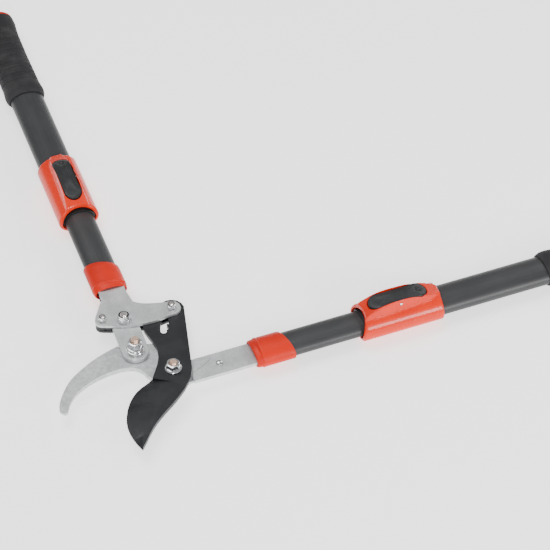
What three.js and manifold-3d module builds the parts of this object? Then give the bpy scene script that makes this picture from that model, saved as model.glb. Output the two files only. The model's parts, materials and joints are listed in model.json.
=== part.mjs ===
// Telescopic ratchet bypass lopper. Millimetres, +Z up.
// The origin is the middle of the pivot bolt head's underside, +Z runs up the pivot toward the nut,
// and +X runs along the fixed handle.
import * as THREE from 'three';
import { mergeVertices } from 'three/addons/utils/BufferGeometryUtils.js';
import Module from 'manifold-3d';

const wasm = await Module();
wasm.setup();

// Overall sizes
const closedReach = 485;        // ferrule front to the end of the handle, tubes pushed in
const extension = 280;          // how far each outer tube slides out
const tubeWidth = 38.4;         // outer tube, across the wide way
const tubeHeight = 21.8;        // outer tube, across the thin way
const tubeWall = 1.2;
const gap = 0.3;                // running and assembly clearance

// Head, plan view: pivots and pins
const hookPivot = [-28, 38];            // link on the hook
const handlePivot = [-25.5, 80.5];      // left handle on the link
const ratchetPinAt = [27, 80];          // pin in the blade's toothed slot, first notch
const rivetAt = [48, -6.5];             // rivet through the strap and the hook's tongue
const spacerAt = [-46.4, 89];           // screw that holds the two side plates apart
const slotBottom = [8.8, 53.6];         // pin centre in the last notch, in the blade's own plane
const closeAngle = 42;                  // turn of the blade from open to shut, degrees

// Head, thicknesses
const headHeight = 5.2;         // bolt heads
const bladeThick = 4.5;
const plateThick = 3;
const hookThick = 5.5;
const strapThick = 4;
const tangThick = 3.2;          // tongue of the hook under the strap
const strapWidth = 29.5;
const tailHalf = 8.5;           // half width of the metal tails inside the tubes
const mainBolt = 8;
const smallBolt = 5;
const pinDiameter = 5.5;        // ratchet pin
const slotWidth = pinDiameter + 1.1;
const toothDepth = 2;

// Handles
const ferruleLength = 38;
const ferruleSlant = 4;         // the ferrule reaches this much farther on its outer side
const collarStart = 118.5;
const collarLength = 92.5;
const collarSlant = 1.3;        // the collar's ends lean back this much on its outer side
const humpHeight = 10;          // lock housing above the collar's arched top
const gripLength = 150;
const buttonLength = 65;
const buttonWidth = 19.4;
const rightHandleAt = [84.5, -6];
const leftHandleAt = [-22.9, 129.5];
const leftHandleTurn = 88;      // degrees from the right handle

// Levels up the pivot
const tangLow = headHeight + gap;
const strapLow = tangLow + tangThick + gap;
const hookTop = strapLow + strapThick;
const hookLow = hookTop - hookThick;
const bladeLow = hookTop + gap;
const bladeTop = bladeLow + bladeThick;
const frontLow = bladeTop + gap;
const frontTop = frontLow + plateThick;
const rearTop = hookTop;
const rearLow = rearTop - plateThick;
const rightAxisZ = hookTop - strapThick / 2;
const leftAxisZ = (rearLow + frontTop) / 2;

// Sizes that follow from those
const outerA = tubeWidth / 2;
const outerB = tubeHeight / 2;
const innerA = outerA - tubeWall - 1.5;
const innerB = outerB - tubeWall - 0.55;
const collarA = outerA + 3.7;
const collarB = outerB + 3.5;
const archTop = collarB + 4.1;
const collarEnd = collarStart + collarLength;
const bushStart = collarStart + 3.5;
const bushEnd = collarStart + 11.2;
const outerTubeStart = bushEnd + gap;
const gripStart = closedReach - gripLength;
const innerTubeStart = 6;
const innerTubeEnd = closedReach - 23;
const buttonAt = collarStart + 45;
const buttonAxisZ = archTop + 4.9;
const lockPinAt = buttonAt - 25;
const springAt = buttonAt + 24;
const rad = Math.PI / 180;

// Finishes
const orangePlastic = { color: 0xf4502c, roughness: 0.32, metalness: 0 };
const matOrange = { color: 0xe8442a, roughness: 0.5, metalness: 0 };
const blackPlastic = { color: 0x2c3032, roughness: 0.55, metalness: 0 };
const greyTube = { color: 0x45474a, roughness: 0.42, metalness: 0.75 };
const zincPlate = { color: 0xc3c6c9, roughness: 0.35, metalness: 0.9 };
const castSteel = { color: 0xbfc2c4, roughness: 0.5, metalness: 0.85 };
const coatedBlade = { color: 0x1e2024, roughness: 0.3, metalness: 0.3 };
const darkSteel = { color: 0x27292c, roughness: 0.5, metalness: 0.5 };
const zincBolt = { color: 0xd0d3d4, roughness: 0.25, metalness: 1 };
const softGrip = { color: 0x232526, roughness: 0.8, metalness: 0 };

const product = new THREE.Group();
const leftHandle = new THREE.Group();
const rightHandle = new THREE.Group();
rightHandle.position.set(rightHandleAt[0], rightHandleAt[1], rightAxisZ);
leftHandle.position.set(leftHandleAt[0], leftHandleAt[1], leftAxisZ);
leftHandle.rotation.z = leftHandleTurn * rad;
product.add(rightHandle, leftHandle);

function addPiece(name, geometry, finish, group = product) {
  const mesh = new THREE.Mesh(geometry, new THREE.MeshStandardMaterial(finish));
  mesh.name = name;
  group.add(mesh);
  return mesh;
}

// Booleans: closed meshes in, closed mesh out
function toSolid(geometry) {
  const bare = new THREE.BufferGeometry();
  bare.setAttribute('position', geometry.getAttribute('position').clone());
  if (geometry.index) bare.setIndex(geometry.index.clone());
  const welded = mergeVertices(bare, 1e-4);
  return new wasm.Manifold(new wasm.Mesh({
    numProp: 3,
    vertProperties: new Float32Array(welded.getAttribute('position').array),
    triVerts: new Uint32Array(welded.index.array),
  }));
}

function toGeometry(solid) {
  const mesh = solid.getMesh();
  const geometry = new THREE.BufferGeometry();
  geometry.setAttribute('position', new THREE.BufferAttribute(new Float32Array(mesh.vertProperties), 3));
  geometry.setIndex(new THREE.BufferAttribute(new Uint32Array(mesh.triVerts), 1));
  geometry.computeVertexNormals();
  return geometry;
}

function cut(geometry, ...tools) {
  return toGeometry(tools.reduce((solid, tool) => solid.subtract(toSolid(tool)), toSolid(geometry)));
}

function join(geometry, ...others) {
  return toGeometry(others.reduce((solid, other) => solid.add(toSolid(other)), toSolid(geometry)));
}

// Flat plate from an outline, between two levels
function plate(shape, low, high, curveSegments = 10) {
  const geometry = new THREE.ExtrudeGeometry(shape, {
    depth: high - low,
    bevelEnabled: false,
    curveSegments,
  });
  geometry.translate(0, 0, low);
  return geometry;
}

// Upright round bar
function rod(radius, low, high, x = 0, y = 0, segments = 20) {
  const geometry = new THREE.CylinderGeometry(radius, radius, high - low, segments);
  geometry.rotateX(Math.PI / 2);
  geometry.translate(x, y, (low + high) / 2);
  return geometry;
}

// Upright turned piece: profile is [radius, level] from the axis, round, and back to the axis
function turned(profile, x = 0, y = 0, segments = 20) {
  const geometry = new THREE.LatheGeometry(profile.map(([r, z]) => new THREE.Vector2(r, z)), segments);
  geometry.rotateX(Math.PI / 2);
  geometry.translate(x, y, 0);
  return geometry;
}

function block(xLow, xHigh, yLow, yHigh, zLow, zHigh) {
  const geometry = new THREE.BoxGeometry(xHigh - xLow, yHigh - yLow, zHigh - zLow);
  geometry.translate((xLow + xHigh) / 2, (yLow + yHigh) / 2, (zLow + zHigh) / 2);
  return geometry;
}

function points(list) {
  return list.map(([x, y]) => new THREE.Vector2(x, y));
}

// Closed mesh from rows of points that wrap both ways, such as a sleeve
function closedRows(rows) {
  const count = rows[0].length;
  const position = rows.flat(2);
  const index = [];
  for (let i = 0; i < rows.length; i++) {
    const next = (i + 1) % rows.length;
    for (let j = 0; j < count; j++) {
      const k = (j + 1) % count;
      const [a, b, c, d] = [i * count + j, i * count + k, next * count + k, next * count + j];
      index.push(a, b, c, a, c, d);
    }
  }
  const geometry = new THREE.BufferGeometry();
  geometry.setAttribute('position', new THREE.Float32BufferAttribute(position, 3));
  geometry.setIndex(index);
  return geometry;
}

// Closed mesh from rings stacked along one direction, flat or pointed at both ends
function closedStack(rings) {
  const count = rings[0].length;
  const position = rings.flat(2);
  const index = [];
  for (let i = 0; i < rings.length - 1; i++) {
    for (let j = 0; j < count; j++) {
      const k = (j + 1) % count;
      const [a, b, c, d] = [i * count + j, i * count + k, (i + 1) * count + k, (i + 1) * count + j];
      index.push(a, b, c, a, c, d);
    }
  }
  for (const [row, flip] of [[0, true], [rings.length - 1, false]]) {
    const ring = rings[row];
    const middle = position.length / 3;
    position.push(...[0, 1, 2].map((axis) => ring.reduce((sum, p) => sum + p[axis], 0) / count));
    for (let j = 0; j < count; j++) {
      const [a, b] = [row * count + j, row * count + ((j + 1) % count)];
      index.push(middle, flip ? b : a, flip ? a : b);
    }
  }
  const geometry = new THREE.BufferGeometry();
  geometry.setAttribute('position', new THREE.Float32BufferAttribute(position, 3));
  geometry.setIndex(index);
  return geometry;
}

// Oval sleeve along x: each profile entry is [x, half width, half height].
function ovalSleeve(profile, segments = 28) {
  return closedRows(profile.map(([x, a, b]) => {
    const ring = [];
    for (let j = 0; j < segments; j++) {
      const angle = (2 * Math.PI * j) / segments;
      ring.push([x, a * Math.cos(angle), b * Math.sin(angle)]);
    }
    return ring;
  }));
}

// Collar section round x: an oval with an arched top. The arch draws back by mouth at the front, its ends
// lean by slant, and the hump's flat top stands at level humpTop between steep walls.
function collarRing({ x, a, b, arch, mouth, humpTop, side }) {
  const inward = [0, 0.02, 0.07, 0.14, 0.24, 0.33, 0.38, 0.42, 0.46, 0.5, 0.54, 0.65, 0.8, 1];
  const quarter = inward.map((share) => Math.acos(1 - share));
  const upper = [...quarter, ...quarter.slice(0, -1).reverse().map((angle) => Math.PI - angle)];
  const lower = Array.from({ length: 15 }, (unused, i) => Math.PI + ((i + 1) * Math.PI) / 16);
  return [...upper, ...lower].map((angle) => {
    const up = Math.max(0, Math.sin(angle));
    const y = a * Math.cos(angle);
    const along = x - collarSlant * side * Math.cos(angle) + mouth * up ** 1.5;
    const base = up > 0 ? arch * up : b * Math.sin(angle);
    const foot = humpFoot(x);
    const crown = 1 - smoothStep(foot - 2.4, foot, Math.abs(y));
    return [along, y, base + crown * Math.max(0, up > 0 ? humpTop - base : 0)];
  });
}

// Level of the hump's top along the collar: a long rise from the mouth, and a short fall at the far end
function humpLevel(x) {
  const rise = Math.min(1, (x - collarStart) / 42);
  const fall = smoothStep(collarLength - 36.5, collarLength + 7.5, x - collarStart);
  return archTop + humpHeight * (1 - (1 - rise) ** 2) * (1 - fall);
}

// Half width of the hump at its foot: it narrows toward the far end
function humpFoot(x) {
  const fromStart = x - collarStart;
  return buttonWidth / 2 + 4.3 - 0.03 * fromStart - 3.4 * smoothStep(collarLength - 14, collarLength, fromStart);
}

function ovalBar(profile, segments = 28) {
  return closedStack(profile.map(([x, a, b]) => {
    const ring = [];
    for (let j = 0; j < segments; j++) {
      const angle = (2 * Math.PI * j) / segments;
      ring.push([x, a * Math.cos(angle), b * Math.sin(angle)]);
    }
    return ring;
  }));
}

function smoothStep(low, high, value) {
  const t = Math.min(1, Math.max(0, (value - low) / (high - low)));
  return t * t * (3 - 2 * t);
}

// Straight slot outline with round ends
function stadium(length, width, x = 0, y = 0) {
  const shape = new THREE.Shape();
  const r = width / 2;
  const half = length / 2 - r;
  shape.moveTo(x - half, y - r);
  shape.lineTo(x + half, y - r);
  shape.absarc(x + half, y, r, -Math.PI / 2, Math.PI / 2, false);
  shape.lineTo(x - half, y + r);
  shape.absarc(x - half, y, r, Math.PI / 2, (3 * Math.PI) / 2, false);
  return shape;
}

function turn([x, y], degrees) {
  const [c, s] = [Math.cos(degrees * rad), Math.sin(degrees * rad)];
  return [c * x - s * y, s * x + c * y];
}

function plus([x, y], [u, v]) {
  return [x + u, y + v];
}

function minus([x, y], [u, v]) {
  return [x - u, y - v];
}

function size([x, y]) {
  return Math.hypot(x, y);
}

// Linkage. From open to shut the blade turns by closeAngle, while the link and the left handle turn
// by constant shares of it. The shares bring the pin to the slot's last notch.
const linkArm = minus(handlePivot, hookPivot);
const pinArm = minus(ratchetPinAt, handlePivot);
const pinShut = turn(slotBottom, -closeAngle);
const reach = size(minus(pinShut, hookPivot));
const elbow = Math.acos(
  (size(linkArm) ** 2 + reach ** 2 - size(pinArm) ** 2) / (2 * size(linkArm) * reach),
);
const reachAngle = Math.atan2(pinShut[1] - hookPivot[1], pinShut[0] - hookPivot[0]);
const linkTurn = Math.atan2(linkArm[1], linkArm[0]) / rad - (reachAngle + elbow) / rad;
const pivotShut = plus(hookPivot, turn(linkArm, -linkTurn));
const pinArmShut = minus(pinShut, pivotShut);
const handleTurn = (Math.atan2(pinArm[1], pinArm[0]) - Math.atan2(pinArmShut[1], pinArmShut[0])) / rad;
const handleOnLink = linkTurn - handleTurn;

// Where the pin's centre is in the blade at a share t of the closing
function pinInBlade(t) {
  const arm = plus(linkArm, turn(pinArm, handleOnLink * t));
  return turn(plus(hookPivot, turn(arm, -linkTurn * t)), closeAngle * t);
}

// Hook: thick curved jaw, a boss round each pivot, and a tongue that laps under the strap
function hookOutline() {
  const shape = new THREE.Shape();
  shape.moveTo(-118.6, -13.6);
  shape.quadraticCurveTo(-122.5, -16.5, -125, -11);
  shape.splineThru(points([
    [-125.4, -6.5], [-119.5, 6.5], [-104, 26], [-83, 40], [-62, 49.5], [-42, 55.3],
  ]));
  shape.absarc(hookPivot[0], hookPivot[1], 18.4, 2.2, 0.5, true);
  shape.splineThru(points([[-4, 43.5], [8, 31], [17, 15]]));
  shape.absarc(0, 0, 20, 0.65, -2.2, true);
  shape.splineThru(points([
    [-21, -6], [-26.5, 4.5], [-29.5, 12.5], [-35.5, 19.5], [-45, 22.6], [-56, 23.4],
    [-72, 21.3], [-88, 15.8], [-103, 7], [-113, -3.6], [-118.6, -13.6],
  ]));
  return shape;
}

// Leaf-shaped point of the hook that is let into the strap
function leaf(grow) {
  const shape = new THREE.Shape();
  shape.moveTo(8, 9.1 + grow);
  shape.lineTo(19, 9.1 + grow);
  shape.quadraticCurveTo(33, 8.4 + grow, 41.5 + 2 * grow, 3);
  shape.quadraticCurveTo(33, -3.5 - grow, 20, -8 - grow);
  shape.lineTo(8, -9 - grow);
  return shape;
}

const tongue = stadium(74, 22, 21, -5.8);
let hook = join(
  plate(hookOutline(), hookLow, hookTop, 4),
  rod(18.5, tangLow, hookLow + 1, 0, 0, 40),
  plate(tongue, tangLow, tangLow + tangThick),
  plate(leaf(0), tangLow + 1, hookTop),
);
// The underside rises toward the tip
const tipTaper = new THREE.Shape(points([
  [-72, hookLow],
  [-130, hookLow + 3],
  [-130, hookLow - 5],
  [-72, hookLow - 5],
]));
const tipCutter = new THREE.ExtrudeGeometry(tipTaper, { depth: 120, bevelEnabled: false });
tipCutter.rotateX(Math.PI / 2);
tipCutter.translate(0, 60, 0);
hook = cut(
  hook,
  tipCutter,
  rod(mainBolt / 2 + gap, tangLow - 1, hookTop + 1),
  rod(mainBolt / 2 + gap, hookLow - 1, hookTop + 1, ...hookPivot),
  rod(2.3, tangLow - 1, hookTop, ...rivetAt, 20),
);
addPiece('hook', hook, castSteel);

// Strap of the fixed handle, narrower inside the tube
const strapEnd = rightHandleAt[0] + 58;
const strapMid = rightHandleAt[1];
const strapShape = new THREE.Shape();
strapShape.moveTo(0, strapMid - strapWidth / 2);
strapShape.lineTo(rightHandleAt[0] + 0.5, strapMid - strapWidth / 2);
strapShape.lineTo(rightHandleAt[0] + 5, strapMid - tailHalf);
strapShape.lineTo(strapEnd, strapMid - tailHalf);
strapShape.lineTo(strapEnd, strapMid + tailHalf);
strapShape.lineTo(rightHandleAt[0] + 5, strapMid + tailHalf);
strapShape.lineTo(rightHandleAt[0] + 0.5, strapMid + strapWidth / 2);
strapShape.lineTo(0, strapMid + strapWidth / 2);
const strap = cut(
  plate(strapShape, strapLow, hookTop),
  rod(20 + gap, strapLow - 1, hookTop + 1, 0, 0, 48),
  plate(leaf(gap), strapLow - 1, hookTop + 1),
  block(-1, 16, strapMid - 20, strapMid + 20, strapLow - 1, hookTop + 1),
  rod(2.3, strapLow - 1, hookTop + 1, ...rivetAt, 20),
  rod(2.3, strapLow - 1, hookTop + 1, rightHandleAt[0] + 26, strapMid, 20),
);
addPiece('strap_right', strap, zincPlate);

// Dome-headed rivet through strap and tongue
const rivetProfile = [
  [0, tangLow - 1.5], [3.2, tangLow - 1.5], [3.4, tangLow - gap], [2, tangLow - gap],
  [2, hookTop + gap], [3.9, hookTop + gap], [3.5, hookTop + 1.5], [2.2, hookTop + 2.5], [0, hookTop + 2.8],
];
addPiece('strap_rivet', turned(rivetProfile, ...rivetAt, 20), zincBolt);

// Blade: flat arm with a toothed slot, and a curved blade that is ground down to its edge
const edgeLine = new THREE.SplineCurve(points([[-19, 4], [-26, -4.5], [-38, -9.5], [-48, -16], [-57, -26],
  [-64, -38], [-68.5, -50], [-70.2, -62], [-69, -77], [-65.5, -90]]));
const spineLine = new THREE.SplineCurve(points([[18.5, 0.5], [15.5, -11], [6.3, -25.3], [-4.7, -35.8],
  [-16.7, -45.3], [-28.7, -53.8], [-39.5, -62.5], [-49.3, -72], [-58, -82.5], [-64.9, -90.3]]));

function bladeOutline() {
  const shape = new THREE.Shape();
  shape.moveTo(-24.5, -5);
  shape.splineThru(points([[-18, 4.5], [-11.5, 15], [-7.6, 25], [-6, 34], [-7, 44], [-9, 56], [-9.6, 66],
    [-6, 76], [3, 85], [15.5, 90.5]]));
  shape.absarc(ratchetPinAt[0], ratchetPinAt[1] + 1, 14, 2.45, -0.08, true);
  shape.lineTo(21.2, 5);
  shape.quadraticCurveTo(19, -8, 7.5, -24);
  shape.lineTo(-4, -19.5);
  return shape;
}

function bladeWedge(stations = 14) {
  const rings = [];
  for (let i = 0; i <= stations; i++) {
    const s = i / stations;
    const edge = edgeLine.getPointAt(s);
    const spine = spineLine.getPointAt(s);
    const ridge = edge.clone().lerp(spine, 0.62);
    const lip = edge.clone().lerp(spine, 0.015);
    rings.push([
      [edge.x, edge.y, bladeLow],
      [spine.x, spine.y, bladeLow],
      [spine.x, spine.y, bladeTop - 0.01],
      [ridge.x, ridge.y, bladeTop - 0.01],
      [lip.x, lip.y, bladeLow + 0.6],
    ]);
  }
  return closedStack(rings);
}

// The slot follows the pin's path. Notches open on the side that the pin pushes.
function slotOutline(samples = 12) {
  const half = slotWidth / 2;
  const leftSide = [];
  const rightSide = [];
  let firstAngle = 0;
  let lastAngle = 0;
  for (let i = 0; i <= samples; i++) {
    const here = pinInBlade(i / samples);
    const ahead = minus(pinInBlade(i / samples + 0.01), pinInBlade(i / samples - 0.01));
    const along = [ahead[0] / size(ahead), ahead[1] / size(ahead)];
    const across = [-along[1], along[0]];
    rightSide.push([here[0] + across[0] * half, here[1] + across[1] * half]);
    leftSide.push([here[0] - across[0] * half, here[1] - across[1] * half]);
    if (i === 0) firstAngle = Math.atan2(across[1], across[0]);
    if (i === samples) lastAngle = Math.atan2(across[1], across[0]);
  }
  const start = pinInBlade(0);
  const end = pinInBlade(1);
  const shape = new THREE.Shape();
  shape.moveTo(...rightSide[0]);
  rightSide.slice(1).forEach((p) => shape.lineTo(...p));
  shape.absarc(end[0], end[1], half, lastAngle, lastAngle - Math.PI, true);
  leftSide.reverse().slice(1).forEach((p) => shape.lineTo(...p));
  shape.absarc(start[0], start[1], half, firstAngle + Math.PI, firstAngle, true);
  return shape;
}

// One ratchet notch: a sloping back and a square ledge, at a share t of the closing
function notch(t) {
  const here = pinInBlade(t);
  const ahead = minus(pinInBlade(t + 0.02), pinInBlade(t - 0.02));
  const along = [ahead[0] / size(ahead), ahead[1] / size(ahead)];
  const across = [-along[1], along[0]];
  const corner = (s, n) => [here[0] + along[0] * s + across[0] * n, here[1] + along[1] * s + across[1] * n];
  const half = slotWidth / 2;
  const shape = new THREE.Shape();
  shape.moveTo(...corner(-3.6, half - 1));
  shape.lineTo(...corner(3, half - 1));
  shape.lineTo(...corner(3, half + toothDepth));
  shape.lineTo(...corner(0.5, half + toothDepth));
  shape.lineTo(...corner(-3.6, half + 0.2));
  return shape;
}

const blade = cut(
  join(plate(bladeOutline(), bladeLow, bladeTop, 3), bladeWedge()),
  plate(slotOutline(), bladeLow - 1, bladeTop + 1, 8),
  ...[0.28, 0.56, 0.84].map((t) => plate(notch(t), bladeLow - 1, bladeTop + 1)),
  rod(mainBolt / 2 + gap, bladeLow - 1, bladeTop + 1),
);
addPiece('blade', blade, coatedBlade);

// Hexagon-headed bolt: head below, shank, and a chamfered end above
function hexBolt(diameter, across, headLow, headTop, shankTop, at) {
  const shank = turned([[0, headTop - 1], [diameter / 2, headTop - 1], [diameter / 2, shankTop - 0.8],
    [diameter / 2 - 0.8, shankTop], [0, shankTop]], ...at);
  return join(rod(across / Math.sqrt(3), headLow, headTop, ...at, 6), shank);
}

// Flange nut: round flange below a hexagon
function flangeNut(diameter, across, flange, low, high, at) {
  const base = [
    [0, low], [flange / 2, low], [flange / 2, low + 1.1], [across / 2, low + 2.4], [0, low + 2.4],
  ];
  const body = join(
    turned(base, ...at),
    rod(across / Math.sqrt(3), low + 1, high, ...at, 6),
  );
  return cut(body, rod(diameter / 2 + gap, low - 1, high + 1, ...at));
}

// Lock nut: hexagon with a round collar on top
function lockNut(diameter, across, low, high, at) {
  const body = join(
    rod(across / Math.sqrt(3), low, high - 1.6, ...at, 6),
    rod(across / 2 - 0.2, low + 1, high, ...at, 24),
  );
  return cut(body, rod(diameter / 2 + gap, low - 1, high + 1, ...at));
}

addPiece('pivot_bolt', hexBolt(mainBolt, 13, 0, headHeight, bladeTop + 10.2, [0, 0]), zincBolt);
addPiece('pivot_nut', flangeNut(mainBolt, 13, 17.9, bladeTop + gap, bladeTop + 8.2, [0, 0]), zincBolt);

// Link between hook and left handle
const linkAngle = Math.atan2(linkArm[1], linkArm[0]) / rad;
const linkGeometry = plate(stadium(size(linkArm) + 28, 28, size(linkArm) / 2), bladeLow, bladeTop, 10);
linkGeometry.rotateZ(linkAngle * rad);
linkGeometry.translate(...hookPivot, 0);
addPiece('link', cut(
  linkGeometry,
  rod(mainBolt / 2 + gap, bladeLow - 1, bladeTop + 1, ...hookPivot),
  rod(mainBolt / 2 + gap, bladeLow - 1, bladeTop + 1, ...handlePivot),
), zincPlate);
const linkHeadTop = hookLow - gap;
const linkHeadLow = linkHeadTop - headHeight;
addPiece('link_bolt', hexBolt(mainBolt, 13, linkHeadLow, linkHeadTop, bladeTop + 18.5, hookPivot), zincBolt);
addPiece('link_washer', cut(
  rod(9.4, bladeTop + gap, bladeTop + 3.5, ...hookPivot, 32),
  rod(mainBolt / 2 + gap, bladeTop - 1, bladeTop + 5, ...hookPivot),
), zincBolt);
addPiece('link_nut', flangeNut(mainBolt, 13, 16.5, bladeTop + 3.5 + gap, bladeTop + 14, hookPivot),
  zincBolt);

// Side plates of the left handle. Both carry the pin; their tails run up into the tube.
const leftDirection = turn([1, 0], leftHandleTurn);
const leftAcross = turn([0, 1], leftHandleTurn);

function inLeftHandle(along, side) {
  return [
    leftHandleAt[0] + leftDirection[0] * along + leftAcross[0] * side,
    leftHandleAt[1] + leftDirection[1] * along + leftAcross[1] * side,
  ];
}

function sidePlateOutline(inset) {
  const shape = new THREE.Shape();
  const half = 14.2 - inset;
  shape.moveTo(...inLeftHandle(58, -tailHalf));
  shape.lineTo(...inLeftHandle(58, tailHalf));
  shape.lineTo(...inLeftHandle(5, tailHalf));
  shape.lineTo(...inLeftHandle(0.5, half));
  shape.lineTo(...inLeftHandle(-10, half));
  shape.quadraticCurveTo(...inLeftHandle(-14, half + 0.5), ...inLeftHandle(-18, half + 4));
  shape.lineTo(spacerAt[0] - 6.3, spacerAt[1] + 5.5);
  shape.absarc(spacerAt[0], spacerAt[1], 8 - inset, 2.4, 4.35, false);
  shape.splineThru(points([[-38, 76.8 + inset], [-25, 71.8 + inset], [-10, 69.2 + inset], [6, 68.2 + inset],
    [18, 69.8 + inset]]));
  shape.absarc(ratchetPinAt[0], ratchetPinAt[1], 10 - inset, -1.3, 1.75, false);
  shape.splineThru(points([[12, 93.2 - inset], [1, 97.4 - inset], [-7.5, 103.5]]));
  shape.lineTo(...inLeftHandle(-10, -half));
  shape.lineTo(...inLeftHandle(0.5, -half));
  shape.lineTo(...inLeftHandle(5, -tailHalf));
  return shape;
}

function sidePlate(inset, low, high) {
  return cut(
    plate(sidePlateOutline(inset), low, high, 3),
    rod(mainBolt / 2 + gap, low - 1, high + 1, ...handlePivot),
    rod(smallBolt / 2 + gap, low - 1, high + 1, ...spacerAt, 20),
    rod(pinDiameter / 2 + gap, low - 1, high + 1, ...ratchetPinAt, 20),
    rod(2.3, low - 1, high + 1, ...inLeftHandle(26, 0), 20),
  );
}

addPiece('side_plate_front', sidePlate(0, frontLow, frontTop), zincPlate);
addPiece('side_plate_rear', sidePlate(0.4, rearLow, rearTop), darkSteel);
addPiece('handle_bolt', hexBolt(mainBolt, 13, rearLow - gap - headHeight, rearLow - gap, frontTop + 10.2,
  handlePivot), zincBolt);
addPiece('handle_nut', lockNut(mainBolt, 13, frontTop + gap, frontTop + 8.6, handlePivot), zincBolt);
addPiece('ratchet_pin', hexBolt(pinDiameter, 8, rearLow - gap - 3.5, rearLow - gap, frontTop + 7,
  ratchetPinAt), zincBolt);
addPiece('ratchet_nut', lockNut(pinDiameter, 8.6, frontTop + gap, frontTop + 5.8, ratchetPinAt), zincBolt);
addPiece('spacer_bolt', hexBolt(smallBolt, 8, rearLow - gap - 3.5, rearLow - gap, frontTop + 6.6, spacerAt),
  zincBolt);
addPiece('spacer_nut', lockNut(smallBolt, 8, frontTop + gap, frontTop + 5.6, spacerAt), zincBolt);

// Spacer between the plates, clear of the link's round end
const spacerShape = new THREE.Shape();
spacerShape.absarc(spacerAt[0], spacerAt[1], 7.4, 0, 2 * Math.PI, false);
const spacerFoot = new THREE.Shape(points([[-53, 93], [-50, 83.6], [-38, 77.6], [-30, 74], [-30, 97]]));
addPiece('plate_spacer', cut(
  join(plate(spacerShape, bladeLow, bladeTop), plate(spacerFoot, bladeLow, bladeTop)),
  rod(14 + 1, bladeLow - 1, bladeTop + 1, ...handlePivot, 40),
  plate(stadium(80, 30, 0, 0), bladeLow - 1, bladeTop + 1)
    .rotateZ(linkAngle * rad)
    .translate(handlePivot[0] - leftDirection[0] * 25, handlePivot[1] - leftDirection[1] * 25, 0),
  rod(smallBolt / 2 + gap, bladeLow - 1, bladeTop + 1, ...spacerAt, 20),
), blackPlastic);

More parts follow.
